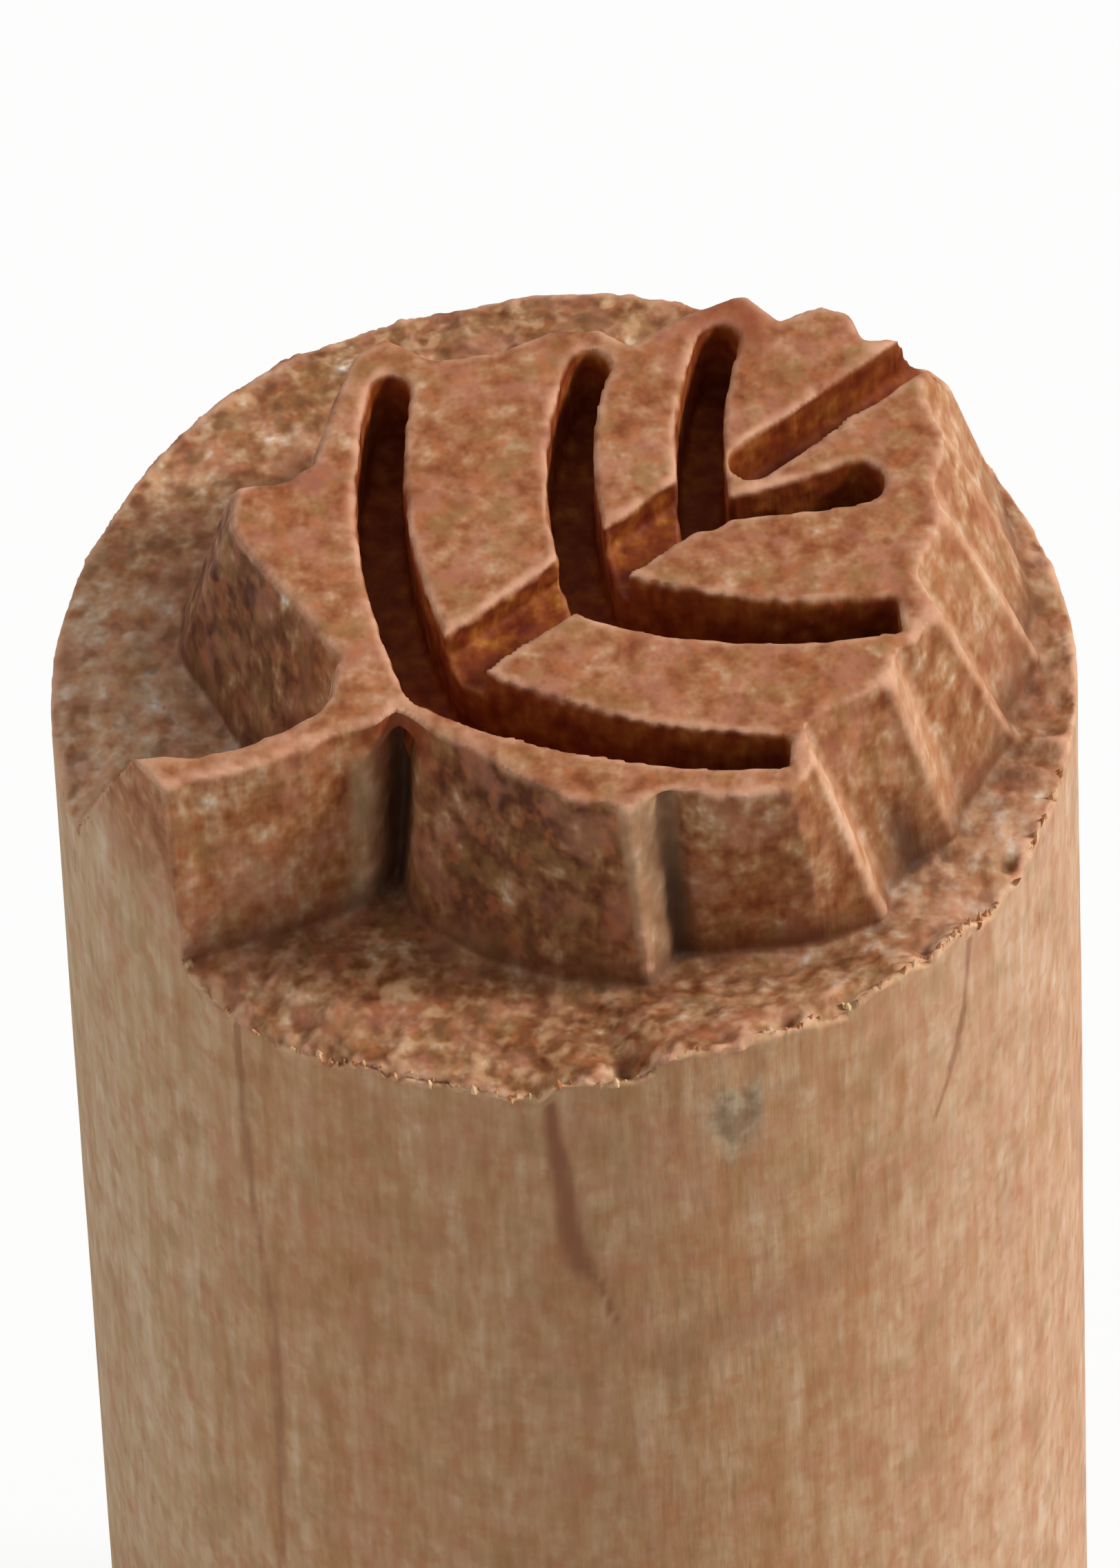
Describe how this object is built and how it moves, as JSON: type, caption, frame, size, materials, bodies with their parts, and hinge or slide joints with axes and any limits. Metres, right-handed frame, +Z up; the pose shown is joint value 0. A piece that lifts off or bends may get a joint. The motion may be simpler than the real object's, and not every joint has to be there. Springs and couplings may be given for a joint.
{
  "type": "clay stamp",
  "caption": "Round wooden hand stamp that presses a veined leaf into clay, carved in relief in the end grain of a short dowel.",
  "frame": {"origin": "centre of the flat sawn base", "axes": "+Z up the dowel's axis to the printing face; -Y is the side that the picture looks from, with +X to its right; the leaf's tip points 38 degrees round from +X towards +Y"},
  "size_m": [0.025, 0.025, 0.06],
  "materials": {
    "turned_wood": "bare side grain, smoothed, no varnish",
    "carved_wood": "bare end grain, cut with knife and gouge"
  },
  "bodies": {
    "root": {"handle_shank": "turned_wood", "carved_ground": "carved_wood", "leaf_stalk": "carved_wood", "leaf_blade": "carved_wood"}
  },
  "joints": []
}
